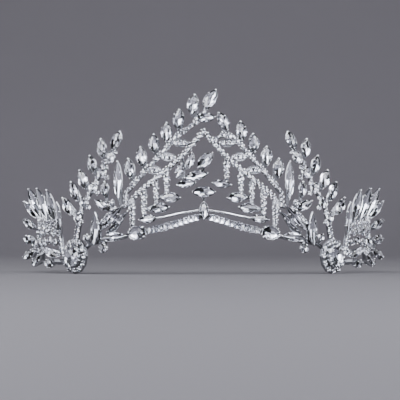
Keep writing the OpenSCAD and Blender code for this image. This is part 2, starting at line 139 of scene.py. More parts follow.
class CrownStoneSizes(bpy.types.PropertyGroup):
    girdle: a_share("Girdle height", "Height of the widest line, against the stone's",
                    0.38, 0.2, 0.6)
    table: a_share("Table", "Width of the flat top, against the stone's", 0.56, 0.3, 0.8)
    grow: a_length("Grow", "How much wider than its solid a set stone is, each side", 0.2, 0, 0.3)
    claw: a_length("Claw", "Width of a claw", 0.56, 0.2, 1)
    spray_stone: a_length("Spray stone", "Diameter of the round stones at the feet of the sprays' "
                          "leaves and on the second stems", 2.2, 1, 2.4)
    spray_pitch: a_length("Spray pitch", "Distance between the two stones at a leaf's foot",
                          2.45, 2, 4)
    fill_stone: a_length("Fill stone", "Diameter of the round stones beside the ovals, on the "
                         "wings and on the fans", 1.8, 1, 2.2)
    base_stone: a_length("Base stone", "Height of the narrow stones on the base rail", 2.7, 1, 3)
    base_pitch: a_length("Base pitch", "Distance between the base rail's stones", 2.05, 1, 3)
    glass: a_colour("Glass", "Colour of the cut glass", (0.94, 0.95, 1.0))
    foil: a_colour("Foil", "Colour of the mirror coat behind a stone", (0.93, 0.935, 1.0))


class CrownMetalSizes(bpy.types.PropertyGroup):
    silver: a_colour("Silver", "Colour of the polished metal", (0.84, 0.86, 0.91))
    wire: a_length("Wire", "Diameter of the round wires on the bare strips", 0.9, 0.6, 1.3)
    edge: a_length("Edge", "Radius to which the metal's edges look polished", 0.35, 0, 0.6)


class CrownStageSizes(bpy.types.PropertyGroup):
    floor: a_colour("Floor", "Colour of the paper under the crown", (0.108, 0.104, 0.109))
    backdrop: a_colour("Backdrop", "Colour of the paper behind the crown", (0.219, 0.207, 0.224))
    camera_height: a_length("Camera height", "Height of the camera above the floor", 12, 5, 1000)
    camera_distance: a_length("Camera distance", "Distance of the camera from the crown's front",
                              700, 300, 3000)
    light: FloatProperty(name="Light", description="Strength of all the lights together",
                         default=1.0, min=0, max=10)


# ---- Materials: a wire is a node's output, and sums on wires add Math nodes


class Wire:
    """One output socket of a material's node, on which sums are written as plain Python."""

    def __init__(self, tree, socket):
        self.tree, self.socket = tree, socket

    def sum(self, operation, first, second):
        node = self.tree.nodes.new("ShaderNodeMath")
        node.operation = operation
        plug(self.tree, node.inputs[0], first)
        plug(self.tree, node.inputs[1], second)
        return Wire(self.tree, node.outputs[0])

    def __add__(self, other):
        return self.sum("ADD", self, other)

    def __mul__(self, other):
        return self.sum("MULTIPLY", self, other)

    __radd__ = __add__
    __rmul__ = __mul__


def plug(tree, socket, value):
    """Links a wire to a socket, or sets a plain value on it."""
    if isinstance(value, Wire):
        tree.links.new(value.socket, socket)
    else:
        socket.default_value = value


def shade(colour, share):
    return tuple(min(1.0, c * share) for c in colour)


class Nodes:
    """A node tree that is built up node by node."""

    def __init__(self, tree):
        self.tree = tree

    def node(self, kind, settings, values, output=0):
        """A new node with its settings and the values or wires of its sockets."""
        node = self.tree.nodes.new(kind)
        for setting, value in settings.items():
            setattr(node, setting, value)
        for socket, value in values.items():
            plug(self.tree, node.inputs[socket], value)
        return Wire(self.tree, node.outputs[output])

    def ramp(self, factor, stops):
        """Colours or greys at places from 0 to 1, blended in between."""
        node = self.tree.nodes.new("ShaderNodeValToRGB")
        elements = node.color_ramp.elements
        while len(elements) < len(stops):
            elements.new(1)
        for stop, (place, colour) in zip(elements, stops):
            stop.position = place
            stop.color = (*colour, 1) if isinstance(colour, tuple) else (*(colour,) * 3, 1)
        plug(self.tree, node.inputs["Fac"], factor)
        return Wire(self.tree, node.outputs["Color"])

    def axis(self, wire, name):
        """One of a vector's three numbers."""
        return self.node("ShaderNodeSeparateXYZ", {}, {0: wire}, name)

    def blend(self, factor, first, second):
        """A colour between two others."""
        values = {"Factor": factor}
        for socket, colour in ((6, first), (7, second)):
            values[socket] = colour if isinstance(colour, Wire) else (*colour, 1)
        return self.node("ShaderNodeMix", {"data_type": "RGBA"}, values, 2)

    def tint(self, factor, colour, low, high):
        """A colour that varies between two shares of itself."""
        return self.blend(factor, shade(colour, low), shade(colour, high))


class Finish(Nodes):
    """A material that is built around one shader."""

    def __init__(self, name, constants):
        self.material = bpy.data.materials.new(name)
        self.material.use_nodes = True
        super().__init__(self.material.node_tree)
        self.shader = self.tree.nodes["Principled BSDF"]
        for socket, value in constants.items():
            self.shader.inputs[socket].default_value = value

    def feed(self, socket, wire):
        plug(self.tree, self.shader.inputs[socket], wire)

    def place(self):
        return self.node("ShaderNodeTexCoord", {}, {}, "Object")

    def noise(self, scale, detail):
        """Cloudy noise from 0 to 1; its scale is in features per metre."""
        return self.node("ShaderNodeTexNoise", {},
                         {"Vector": self.place(), "Scale": scale, "Detail": detail}, "Fac")


def silver_finish(name, bright, dark, reach, rough):
    """Plated metal: cast grain, soft patches in its polish, and painted shade that darkens its
    colour in hollows where little light gets in.
    """
    sizes = bpy.context.scene.crown_metal
    metal = Finish(name, {"Metallic": 1.0})
    patches, grain = metal.noise(420, 3), metal.noise(5200, 2)
    # Painted shade: the colour blends towards the dark share where ambient occlusion finds little
    # light getting in
    painted_shade = metal.node("ShaderNodeAmbientOcclusion", {"samples": 4}, {"Distance": reach}, "AO")
    tone = metal.tint(patches, sizes.silver, 0.86 * bright, 1.04 * bright)
    metal.feed("Base Color", metal.blend(painted_shade, shade(sizes.silver, dark), tone))
    metal.feed("Roughness", rough + 0.06 * patches + 0.05 * grain)
    rounded = metal.node("ShaderNodeBevel", {"samples": 6}, {"Radius": sizes.edge}, "Normal")
    metal.feed("Normal", metal.node("ShaderNodeBump", {}, {
        "Height": grain, "Distance": 0.015 * MM, "Normal": rounded}))
    return metal.material


def glass_finish(name):
    """Clear cut glass with a faint cool cast and a few smudges in its polish."""
    colour = bpy.context.scene.crown_stones.glass
    glass = Finish(name, {"Transmission Weight": 1.0, "IOR": 1.56})
    cast = glass.noise(260, 2)
    glass.feed("Base Color", glass.tint(cast, colour, 0.96, 1.04))
    glass.feed("Roughness", 0.03 * glass.noise(1500, 2) * cast)
    return glass.material


def foil_finish(name, share):
    """The mirror coat on the back of a stone; at a low share, the coat painted dark as shade on the
    facets that lie in shade.
    """
    colour = bpy.context.scene.crown_stones.foil
    foil = Finish(name, {"Metallic": 1.0})
    cloud = foil.noise(700, 2)
    foil.feed("Base Color", foil.tint(cloud, colour, 0.92 * share, 1.05 * share))
    foil.feed("Roughness", 0.035 + 0.05 * cloud)
    return foil.material


def finish(make, name, **looks):
    """The material of that name, made once."""
    return bpy.data.materials.get(name) or make(name, **looks)


def silver():
    """The bright metal of the settings and wires."""
    return finish(silver_finish, "silver", bright=0.8, dark=0.12, reach=0.8 * MM, rough=0.13)


def cast_silver():
    """The frame's metal: the silver with its colour painted darker, as shade where the frame lies
    behind the stones.
    """
    return finish(silver_finish, "cast_silver", bright=0.45, dark=0.04, reach=1.6 * MM,
                  rough=0.12)


# ---- Places on the crown


def on_crown(along, height, out=0.0):
    """A place on the crown's plan: along its curve, above the floor, and out of the plan."""
    turn = along / CROWN_R
    radius = CROWN_R + out
    return Vector((radius * math.sin(turn), PLAN_Y - radius * math.cos(turn), height))


def spot(place):
    """Along and height of a place on the crown."""
    return Vector((math.atan2(place.x, PLAN_Y - place.y) * CROWN_R, place.z))


def outward(place):
    """The level direction away from the plan's centre."""
    return Vector((place.x, place.y - PLAN_Y, 0)).normalized()


def metal_tree():
    mesh = NODES["frame"].data
    return BVHTree.FromPolygons([v.co for v in mesh.vertices],
                                [tuple(p.vertices) for p in mesh.polygons])


METAL = metal_tree()


def landing(along, height, outside=8 * MM):
    """Where a stone that is pushed on from outside meets the frame's metal."""
    start = on_crown(along, height, outside)
    place = METAL.ray_cast(start, -outward(start))[0]
    if place is None:
        raise ValueError(f"no metal behind {along:.4f}, {height:.4f}")
    return place


def on_side(line, sign):
    """A line of the right side, or its mirror image for the left."""
    return [(sign * along, height) for along, height in line]


def metres(line):
    return [Vector(p) * MM for p in line]


def length_of(line):
    points = metres(line)
    return sum((b - a).length for a, b in zip(points, points[1:]))


def walk(line, first, pitch, count):
    """Places along a line of millimetre points, as along and height in metres."""
    points = metres(line)
    found = []
    for i in range(count):
        left = first + i * pitch
        for a, b in zip(points, points[1:]):
            step = (b - a).length
            if left <= step or b is points[-1]:
                found.append(a + (b - a) * left / step)
                break
            left -= step
    return found


def reach_on(line, place):
    """How far along a line its nearest place to another is."""
    points = metres(line)
    found = []
    run = 0.0
    for a, b in zip(points, points[1:]):
        way = b - a
        share = min(1, max(0, (place - a).dot(way) / way.length_squared))
        found.append(((a + way * share - place).length, run + share * way.length))
        run += way.length
    return min(found)[1]


# ---- Reading the stones' solids


def leaf_nodes():
    others = ("frame", "ring", "end_stone", "flower_heart")
    return [n for n in sorted(NODES) if "rounds" not in n and not n.startswith(others)]


def round_nodes():
    return [n for n in sorted(NODES) if "rounds" in n or n.startswith("flower_heart")]


def corner_key(corner, digits=7):
    """A corner's place, rounded so that corners at one place are equal."""
    return tuple(round(c, digits) for c in corner)


def loose_shells(mesh):
    """The separate shells of a mesh, each as a list of its triangles' corners."""
    parent = {}

    def root(key):
        while parent[key] != key:
            parent[key] = parent[parent[key]]
            key = parent[key]
        return key

    faces = []
    for face in mesh.polygons:
        corners = [mesh.vertices[v].co.copy() for v in face.vertices]
        keys = [corner_key(corner) for corner in corners]
        for key in keys:
            parent.setdefault(key, key)
        for key in keys[1:]:
            parent[root(key)] = root(keys[0])
        faces.append((keys[0], corners))
    shells = {}
    for key, corners in faces:
        shells.setdefault(root(key), []).append(corners)
    return list(shells.values())


def flat_back(shell, no_area=1e-14, same_way=0.9998):
    """The direction away from a solid's largest flat face, its back, and the face's triangles."""
    planes = []
    for corners in shell:
        cross = (corners[1] - corners[0]).cross(corners[2] - corners[0])
        if cross.length < no_area:
            continue
        normal = cross.normalized()
        for plane in planes:
            if plane[0].dot(normal) > same_way:
                plane[1] += cross.length
                plane[2].append(corners)
                break
        else:
            planes.append([normal, cross.length, [corners]])
    normal, _, triangles = max(planes, key=lambda plane: plane[1])
    return -normal, triangles


def seat_of(shell, kind):
    """Place, directions and size of a stone's solid, worked out from its flat back."""
    out, triangles = flat_back(shell)
    rim = []
    uses = {}
    for corners in triangles:
        for a, b in zip(corners, corners[1:] + corners[:1]):
            if all((a - p).length > SAME_PLACE for p in rim):
                rim.append(a)
            key = frozenset((corner_key(a), corner_key(b)))
            uses[key] = uses.get(key, 0) + 1
    if kind == "oblong":
        pairs = [tuple(map(Vector, key)) for key, count in uses.items() if count == 1]
    else:
        pairs = [(p, q) for p in rim for q in rim]
    a, b = max(pairs, key=lambda pair: (pair[0] - pair[1]).length)
    along = (b - a).normalized()
    if along.z < 0:
        along = -along
    across = along.cross(out).normalized()
    spans = []
    for axis in (across, along):
        reach = [p.dot(axis) for p in rim]
        spans.append((min(reach), max(reach)))
    level = rim[0].dot(out)
    middle = (across * sum(spans[0]) + along * sum(spans[1])) / 2 + out * level
    height = max(p.dot(out) for corners in shell for p in corners) - level
    return Seat(middle, across, along, out, spans[0][1] - spans[0][0],
                spans[1][1] - spans[1][0], height)


def seats_in(node, kind):
    return [seat_of(shell, kind) for shell in loose_shells(NODES[node].data)]


# ---- Modelling by hand: blocks cut by planes


def deselect():
    bpy.ops.object.select_all(action="DESELECT")


def begin(name, primitive, scale=(1, 1, 1), **settings):
    """A primitive under its own name, in edit mode and ready to be worked on."""
    deselect()
    primitive(**settings)
    piece = bpy.context.object
    piece.name = piece.data.name = name
    piece.scale = scale
    bpy.ops.object.transform_apply(location=True, scale=True)
    bpy.ops.object.mode_set(mode="EDIT")
    return piece


def polished(piece, smooth=None):
    """The finished piece in bright metal, smooth where its faces turn less than an angle."""
    bpy.ops.object.mode_set(mode="OBJECT")
    if smooth:
        bpy.ops.object.shade_smooth_by_angle(angle=math.radians(smooth))
    piece.data.materials.append(silver())
    return piece


def block(name, low, high, blank):
    """A rough block, wider than the outline to come and ready to be ground."""
    return begin(name, bpy.ops.mesh.primitive_cube_add, (*blank, high - low), size=1,
                 location=(0, 0, (low + high) / 2))


def cut(place, facing):
    """Grinds off what lies beyond a plane."""
    bpy.ops.mesh.select_all(action="SELECT")
    bpy.ops.mesh.bisect(plane_co=place, plane_no=facing, clear_outer=True, use_fill=True)


def grind(edge, low, high, inset):
    """Grinds a facet from an outline's edge at low, leaning in by inset on its way to high."""
    place, facing = edge
    rise = high - low
    lean = Vector((facing.x * abs(rise), facing.y * abs(rise), inset * (1 if rise > 0 else -1)))
    cut(place + Vector((0, 0, low)), lean.normalized())


def extrude(x, y, z):
    bpy.ops.mesh.extrude_region_move(TRANSFORM_OT_translate={"value": (x, y, z)})


def select(piece, kind, parts, test):
    """Selects the parts of a mesh that pass a test; starts and ends in edit mode."""
    bpy.ops.mesh.select_mode(type=kind)
    bpy.ops.mesh.select_all(action="DESELECT")
    bpy.ops.object.mode_set(mode="OBJECT")
    for part in getattr(piece.data, parts):
        part.select = test(part)
    bpy.ops.object.mode_set(mode="EDIT")


def select_facing(piece, way):
    """Selects the faces that face one way."""
    select(piece, "FACE", "polygons", lambda face: face.normal.dot(way) > 0.95)


# Outlines have width 1 and length 2; an edge is a place on it and its outward direction


def leaf_edges(count):
    """Edges of a pointed outline, a count of them on each side."""
    half = math.asin(1 / LEAF_ARC)
    edges = []
    for side in (1, -1):
        for i in range(count):
            turn = 2 * half * (i + 0.5) / count - half
            facing = Vector((side * math.cos(turn), math.sin(turn), 0))
            centre = Vector((side * (0.5 - LEAF_ARC), 0, 0))
            edges.append((centre + facing * LEAF_ARC * math.cos(half / count), facing))
    return edges


def leaf_half(share):
    """Half width of a pointed outline at a share of its half length."""
    return math.sqrt(LEAF_ARC ** 2 - share ** 2) - (LEAF_ARC - 0.5)


def round_edges(count, start=0.5):
    """Edges of a round outline, drawn as long as a leaf's so that it scales alike."""
    edges = []
    for i in range(count):
        turn = 2 * math.pi * (i + start) / count
        facing = Vector((math.cos(turn) * 2, math.sin(turn), 0)).normalized()
        reach = math.cos(math.pi / count)
        edges.append((Vector((math.cos(turn) * 0.5 * reach, math.sin(turn) * reach, 0)), facing))
    return edges


def oblong_edges(corner=0.0):
    """Edges of a rectangle, its corners cut by a share of its sides."""
    edges = [(Vector((x / 2, y, 0)), Vector((x, y, 0)))
             for x, y in ((1, 0), (-1, 0), (0, 1), (0, -1))]
    if corner:
        edges += [(Vector((x * (1 - corner) / 2, y * (1 - corner), 0)),
                   Vector((x * 2, y, 0)).normalized()) for x in (1, -1) for y in (1, -1)]
    return edges


def facets(edges, low, inset):
    """Facets on some edges from low up to the stone's top, leaning in by inset."""
    return [(edge, low, inset) for edge in edges]


def crown_facets(edges):
    """Facets from the girdle up to the table."""
    sizes = bpy.context.scene.crown_stones
    return facets(edges, sizes.girdle, 0.5 * (1 - sizes.table))


def cut_stone(name, edges, upper, pavilion, shaded=SHADED, band=0.04, reach=0.96):
    """A cut stone: an upright girdle band, facets above it and a mirror-backed pavilion below."""
    girdle = bpy.context.scene.crown_stones.girdle
    stone = block(name, 0, 1, (1.4, 2.8))
    for edge in edges:
        cut(*edge)
    for edge, low, inset in upper:
        grind(edge, low, 1.0, inset)
    for edge in pavilion:
        grind(edge, girdle - band, 0, edge[0].length * reach)
    bpy.ops.object.mode_set(mode="OBJECT")
    stone.data.materials.append(finish(glass_finish, "cut_glass"))
    stone.data.materials.append(finish(foil_finish, "foil_back", share=1.0))
    stone.data.materials.append(finish(foil_finish, "foil_shade", share=0.05))
    for face in stone.data.polygons:
        turn = math.degrees(math.atan2(face.center.y, 2 * face.center.x)) % 360
        if face.normal.z > 0.01 or face.center.z > girdle:
            face.material_index = 0
        # Back facets in the shaded directions get the foil painted dark, as shade
        elif face.normal.z < -0.01 and any(low < turn < high for low, high in shaded):
            face.material_index = 2
        else:
            face.material_index = 1
    return stone


def small_round():
    edges = round_edges(8)
    stars = facets(round_edges(8, start=0.0), low=0.8, inset=0.45)
    return cut_stone("small_round", edges, crown_facets(edges) + stars, edges)


def large_round(shaded=SHADED):
    edges = round_edges(16)
    stars = facets(round_edges(8), low=0.7, inset=0.34)
    return cut_stone("large_round", edges, crown_facets(edges) + stars, edges, shaded)


def wall_ring(kind, edges, foot=-0.27, bevel=0.12, sink=0.1, depth=0.4):
    """The thin wall around a stone: a block with the outline, its top sunk inside a lip."""
    wall, rise = WALLS[kind]
    top = bpy.context.scene.crown_stones.girdle + rise
    ring = block(kind + "_wall", foot, top, (2, 3.6))
    for place, facing in edges:
        edge = (place + facing * wall, facing)
        cut(*edge)
        grind(edge, top - bevel, top, 0.4 * wall)
    select_facing(ring, UP)
    bpy.ops.mesh.inset(thickness=0.7 * wall, depth=-sink, use_even_offset=True)
    extrude(0, 0, -depth)
    return polished(ring)


def small_round_wall():
    return wall_ring("small", round_edges(8))


def large_round_wall():
    return wall_ring("large", round_edges(16))


def claw_shape():
    """A claw that rises beside a stone and folds over its edge; the stone lies towards +Y."""
    claw = begin("claw", bpy.ops.mesh.primitive_cylinder_add, vertices=6, radius=0.5,
                 depth=0.8, location=(0, 0, 0.2))
    select_facing(claw, UP)
    # How far each bend goes in and up, and the width it leaves
    for inward, rise, width in ((0.2, 0.28, 0.95), (0.26, 0.1, 0.62)):
        extrude(0, inward, rise)
        bpy.ops.transform.resize(value=(width, width, 1))
    return polished(claw, 60)


def tip_ball_shape():
    """A prong's ball end: a ball of width 1 on a short neck that points to -Y."""
    ball = begin("tip_ball", bpy.ops.mesh.primitive_uv_sphere_add, segments=8, ring_count=6,
                 radius=0.5)
    foot = Vector((0, -1, 0))
    cut(0.3 * foot, foot)
    select_facing(ball, foot)
    extrude(0, -0.7, 0)
    bpy.ops.transform.resize(value=(0.8, 1, 0.8))
    return polished(ball, 50)


def rod_shape():
    """A round wire of radius 1 from 0 to 1 along Z, with domed ends."""
    rod = begin("rod", bpy.ops.mesh.primitive_cylinder_add, vertices=10, radius=1, depth=1,
                location=(0, 0, 0.5))
    for end in (1, -1):
        select_facing(rod, UP * end)
        extrude(0, 0, 0.06 * end)
        bpy.ops.transform.resize(value=(0.7, 0.7, 1))
    return polished(rod, 50)


# ---- Copies of finished shapes, and the pieces they make


def turned(place, across, along, out):
    """Moves a shape to a place and turns its axes X, Y and Z to three directions."""
    return Matrix.Translation(place) @ Matrix((across, along, out)).transposed().to_4x4()


def placing(seat):
    """Puts a shape of width 1, length 2 and height 1 on a seat."""
    return (turned(seat.middle, seat.across, seat.along, seat.out)
            @ Matrix.Diagonal((seat.width, seat.length / 2, seat.height, 1)))


def stamp(shape, matrix):
    """A copy of a finished shape with a mesh of its own, put in its place."""
    piece = shape.copy()
    piece.data = shape.data.copy()
    bpy.context.collection.objects.link(piece)
    piece.data.transform(matrix)
    return piece


def between(rod, start, end, radius):
    """A copy of the rod from one place to another."""
    way = end - start
    turn = way.to_track_quat("Z", "Y").to_matrix().to_4x4()
    return stamp(rod, Matrix.Translation(start) @ turn
                 @ Matrix.Diagonal((radius, radius, way.length, 1)))


def joined(name, pieces, slot, *nodes):
    """One piece from several, riding on the crown."""
    deselect()
    for piece in pieces:
        piece.select_set(True)
    bpy.context.view_layer.objects.active = pieces[0]
    bpy.ops.object.join()
    whole = bpy.context.object
    whole.name = whole.data.name = name
    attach(whole, "root")
    if nodes:
        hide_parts(*nodes)
    return whole


def discard(*shapes):
    for shape in shapes:
        bpy.data.objects.remove(shape)


class Setting:
    """The stones of one piece, and the walls and claws that hold them."""

    def __init__(self):
        self.stones, self.metal = [], []

    def add(self, stone, wall, seat, wall_seat=None):
        """Sets a stone, in a wall that may be shorter than the stone is."""
        self.stones.append(stamp(stone, placing(seat)))
        self.metal.append(stamp(wall, placing(wall_seat or seat)))

    def join(self, stones, metal, *nodes):
        """Makes two pieces, of which the first is seen in the place of any nodes."""
        joined(stones, self.stones, "rhinestone", *nodes)
        joined(metal, self.metal, "silver")


# ---- Seats that differ from the solids, and seats of stones that have none


def held_inside(seat, margin):
    """The seat, shortened at a tip that would come closer than a margin to the frame's box."""
    over = 0.0
    tip = seat.middle + seat.along * seat.length / 2 + seat.out * 0.5 * seat.height
    foot = tip - seat.along * seat.length
    for end, way in ((tip, seat.along), (foot, -seat.along)):
        reach = end + way * margin
        for axis in range(3):
            beyond = max(reach[axis] - CAD_BOX[1][axis], CAD_BOX[0][axis] - reach[axis])
            if beyond > 0:
                over = max(over, beyond / abs(way[axis]))
    if over > seat.length / 4:
        raise ValueError("a leaf stone lies outside the frame's box")
    return seat._replace(length=seat.length - 2 * over)


def stud_on(seat, middle, size):
    """A small round stone's seat in another's plane."""
    return seat._replace(middle=middle, width=size, length=size, height=STUD_HEIGHT)


def pave(seat):
    """Seats of the round stones that fill a leaf: places and sizes against its width."""
    seats = []
    for along, size in ((0, 0.62), (-0.54, 0.46), (0.54, 0.46), (-0.89, 0.26), (0.89, 0.26)):
        middle = seat.middle + seat.along * along * seat.width
        seats.append(stud_on(seat, middle, size * seat.width))
    return seats


def tapered(seats, first=1.25, loss=0.5, filled=0.94, same_row=0.5 * MM):
    """The seats of the hanging rows, their stones from first down to first - loss of a pitch."""
    rows = []
    for seat in sorted(seats, key=lambda s: (round(spot(s.middle).x, 4), -s.middle.z)):
        if rows and abs(spot(rows[-1][0].middle).x - spot(seat.middle).x) < same_row:
            rows[-1].append(seat)
        else:
            rows.append([seat])
    found = []
    for row in rows:
        if len(row) == 1:
            found += row
            continue
        pitch = (row[0].middle.z - row[-1].middle.z) / (len(row) - 1)
        level = row[0].middle.z + pitch / 2
        for i, seat in enumerate(row):
            size = pitch * (first - loss * i / (len(row) - 1))
            middle = seat.middle.copy()
            middle.z = level - size / 2
            level -= size
            found.append(seat._replace(middle=middle, width=filled * size,
                                       length=filled * size))
    return found


def round_seat(place, size, lift=0.3 * MM):
    """A seat of a stone that has no solid, where it lands on the metal."""
    middle = landing(place.x, place.y)
    out = outward(middle)
    return Seat(middle + out * lift, UP.cross(out).normalized(), UP, out, size, size,
                STUD_HEIGHT)


def stem_ovals(sign, width=3.6 * MM, length=4.6 * MM, height=1.2 * MM, lift=0.05 * MM):
    """The seats of the ovals on the second stem of one side."""
    seats = []
    for along, up, lean in SECOND_OVALS:
        middle = on_crown(sign * along * MM, up * MM, lift)
        out = outward(middle)
        turn = math.radians(lean * sign)
        way = UP * math.cos(turn) + UP.cross(out).normalized() * math.sin(turn)
        seats.append(Seat(middle, way.cross(out).normalized(), way, out, width, length, height))
    return seats


def beside_ovals(sign, size, rise=38, gap=0.22 * MM, lift=0.2 * MM):
    """Seats of two small stones at each oval's wall, a rise and a fall in degrees off level."""
    seats = []
    for oval in stem_ovals(sign):
        level = UP.cross(oval.out).normalized() * -sign
        for turn in (math.radians(rise), math.radians(-rise)):
            away = level * math.cos(turn) + UP * math.sin(turn)
            reach = 1 / math.hypot(away.dot(oval.across) / (oval.width / 2),
                                   away.dot(oval.along) / (oval.length / 2))
            middle = oval.middle + away * (reach + size / 2 + gap) + oval.out * lift
            seats.append(stud_on(oval, middle, size))
    return seats


def beside_feet(line, feet, pitch, least=0.96):
    """Places on a line, two at each foot near it, with the least share of a pitch in between."""
    found = []
    for foot in map(spot, feet):
        reach = reach_on(line, foot)
        found += [reach - pitch / 2, reach + pitch / 2]
    places = []
    last = -pitch
    for reach in sorted(found):
        if reach >= last + least * pitch and reach > 0:
            places += walk(line, reach, 0, 1)
            last = reach
    return places


def clear_of(place, seat, leaf, margin, other_level=4 * MM):
    """Whether a place on the crown is further than a margin from a seat's stone."""
    way = place - seat.middle
    across, along = abs(way.dot(seat.across)), abs(way.dot(seat.along))
    if abs(way.dot(seat.out)) > other_level:
        return True
    if not leaf:
        return math.hypot(across, along) > seat.width / 2 + margin
    share = along / (seat.length / 2 + margin)
    return share > 1 or across > leaf_half(share) * seat.width + margin


def is_free(place, taken, margin):
    return all(clear_of(place, seat, leaf, margin) for seat, leaf in taken)


def stud_seats(side, sign, taken, step=0.2 * MM, room=0.42, spacing=0.53):
    """Seats of one side's studs: at the leaves' feet, beside the ovals, and where there is room."""
    sizes = bpy.context.scene.crown_stones
    spray, stem = SPRAY_LINES[side], on_side(SECOND_LINE, sign)
    feet = [seat.middle - seat.along * seat.length / 2
            for seat in seats_in("outer_leaves_" + side, "leaf")]
    seats = [round_seat(place, sizes.spray_stone)
             for place in beside_feet(spray, feet, sizes.spray_pitch)]
    seats += [seat for seat in beside_ovals(sign, sizes.fill_stone)
              if is_free(seat.middle, taken, 0.5 * seat.width)]
    taken = taken + [(seat._replace(width=seat.length), False) for seat in stem_ovals(sign)]
    filler = 0.72 * sizes.spray_stone
    lines = [(stem, sizes.spray_stone)]
    lines += [(on_side(line, sign), sizes.fill_stone) for line in STUD_LINES]
    lines += [(stem, filler), (spray, filler)]
    for line, size in lines:
        for place in walk(line, 0, step, int(length_of(line) / step)):
            middle = on_crown(place.x, place.y)
            if is_free(middle, taken, room * size) and all(
                    (middle - seat.middle).length > spacing * (size + seat.width)
                    for seat in seats):
                seats.append(round_seat(place, size))
    return seats


# ---- Claws


def claw_at(claw, place, inward, out, width, height):
    across = inward.cross(out).normalized()
    inward = out.cross(across)
    return stamp(claw, turned(place, across, inward, out)
                 @ Matrix.Diagonal((width, width, height, 1)))


def leaf_claws(claw, seat, size):
    """Claws at a leaf's two tips and its four shoulders."""
    pieces = []
    for side, share in ((0, 1), (0, -1), (1, SHOULDER), (-1, SHOULDER), (1, -SHOULDER),
                        (-1, -SHOULDER)):
        spread = side * leaf_half(share) * seat.width
        inward = -(seat.across * side) if side else -seat.along * share
        place = seat.middle + seat.across * spread + seat.along * share * seat.length / 2
        pieces.append(claw_at(claw, place + inward * CLAW_STEP * size, inward, seat.out, size,
                              CLAW_RISE * seat.height))
    return pieces


def ball_at_tip(ball, seat, width=0.85 * MM, beyond=0.2 * MM, above=0.35 * MM):
    """A prong's ball end just past a leaf's tip."""
    tip = seat.middle + seat.along * (seat.length / 2 + beyond) + seat.out * above
    return stamp(ball, turned(tip, seat.across, seat.along, seat.out) @ Matrix.Scale(width, 4))


def round_claws(claw, seat, size, towards, count=4, rise=0.68, off_diagonal=0.16):
    """Claws around a round stone; four of them stand nearer to its neighbours' gaps."""
    side = seat.out.cross(towards).normalized()
    pieces = []
    for i in range(count):
        turn = 2 * math.pi * (i + 0.5) / count
        if count == 4:
            turn += off_diagonal if i % 2 == 0 else -off_diagonal
        away = towards * math.cos(turn) + side * math.sin(turn)
        place = seat.middle + away * (seat.width / 2 + CLAW_STEP * size)
        pieces.append(claw_at(claw, place, -away, seat.out, size, rise * seat.height))
    return pieces


def corner_claws(claw, seat, size):
    """Claws at an oblong stone's four corners."""
    pieces = []
    for x in (1, -1):
        for y in (1, -1):
            away = seat.across * x * SHOULDER * seat.width \
                + seat.along * y * SHOULDER * seat.length
            pieces.append(claw_at(claw, seat.middle + away, -away.normalized(), seat.out, size,
                                  CLAW_RISE * seat.height))
    return pieces


def neighbour_way(seat, seats):
    """The direction in a stone's own plane to its nearest neighbour."""
    others = [s for s in seats if s is not seat]
    near = min(others, key=lambda s: (s.middle - seat.middle).length, default=seat)
    way = near.middle - seat.middle
    way -= seat.out * way.dot(seat.out)
    return way.normalized() if way.length > SAME_PLACE else seat.along


# ---- The crown's steps


class CrownOperator(bpy.types.Operator):
    """A step of the crown's making, which can be undone"""
    bl_options = {"REGISTER", "UNDO"}


class CROWN_OT_metal(CrownOperator):
    """Polishes the soldered frame and the ribbon rings"""
    bl_idname = "crown.metal"
    bl_label = "Metal"

    def execute(self, context):
        # The frame gets the silver painted darker, as shade behind the stones
        finishes = {"frame": cast_silver, "ring_left": silver, "ring_right": silver}
        for node, metal in finishes.items():
            mesh = NODES[node].data
            mesh.materials.clear()
            mesh.materials.append(metal())
        return {"FINISHED"}


class CROWN_OT_leaf_stones(CrownOperator):
    """Cuts the pointed stones and sets each in a wall with claws"""
    bl_idname = "crown.leaf_stones"
    bl_label = "Leaf Stones"

    def execute(self, context):
        sizes = context.scene.crown_stones
        edges = leaf_edges(6)
        upper = crown_facets(edges) + facets(leaf_edges(3), low=0.72, inset=0.34)
        leaf = cut_stone("leaf", edges, upper, edges)
        wing_leaf = cut_stone("wing_leaf", edges, upper, edges, WING_SHADED)
        upper = facets(leaf_edges(2), low=sizes.girdle, inset=0.34)
        long = cut_stone("long_leaf", edges, upper, leaf_edges(4))
        wall = wall_ring("leaf", edges)
        plate = stamp(wall, Matrix())
        # The plate behind a pavé leaf gets the same silver painted darker as shade
        plate.data.materials[0] = cast_silver()
        small, small_wall = small_round(), small_round_wall()
        claw, ball = claw_shape(), tip_ball_shape()
        tip_room, wall_slack, tip_slack = 0.45 * MM, 0.1 * MM, LEAF_TIP * WALLS["leaf"][0]
        for node in leaf_nodes():
            setting = Setting()
            for seat in seats_in(node, "leaf"):
                seat = held_inside(seat, 2 * sizes.grow + tip_room)
                grown = seat._replace(width=seat.width + 2 * sizes.grow,
                                      length=seat.length + 4 * sizes.grow)
                if node.startswith("link"):
                    for stud in pave(grown):
                        setting.add(small, small_wall, stud)
                        setting.metal += round_claws(claw, stud, 0.7 * sizes.claw, seat.along)
                    flat = grown._replace(length=0.9 * grown.length)
                    setting.metal.append(stamp(plate, placing(flat)))
                    continue
                shape = wing_leaf if node.startswith(("wing", "second")) else leaf
                if seat.length > 3 * seat.width:
                    shape = long
                setting.add(shape, wall, grown, grown._replace(
                    length=grown.length + wall_slack - tip_slack * grown.length))
                setting.metal += leaf_claws(claw, grown, FINE_CLAW * sizes.claw)
                if node.startswith(("outer", "second", "peak")):
                    setting.metal.append(ball_at_tip(ball, seat))
            setting.join(node + "_cut", node + "_setting", node)
        discard(leaf, wing_leaf, long, small, small_wall, wall, plate, claw, ball)
        return {"FINISHED"}


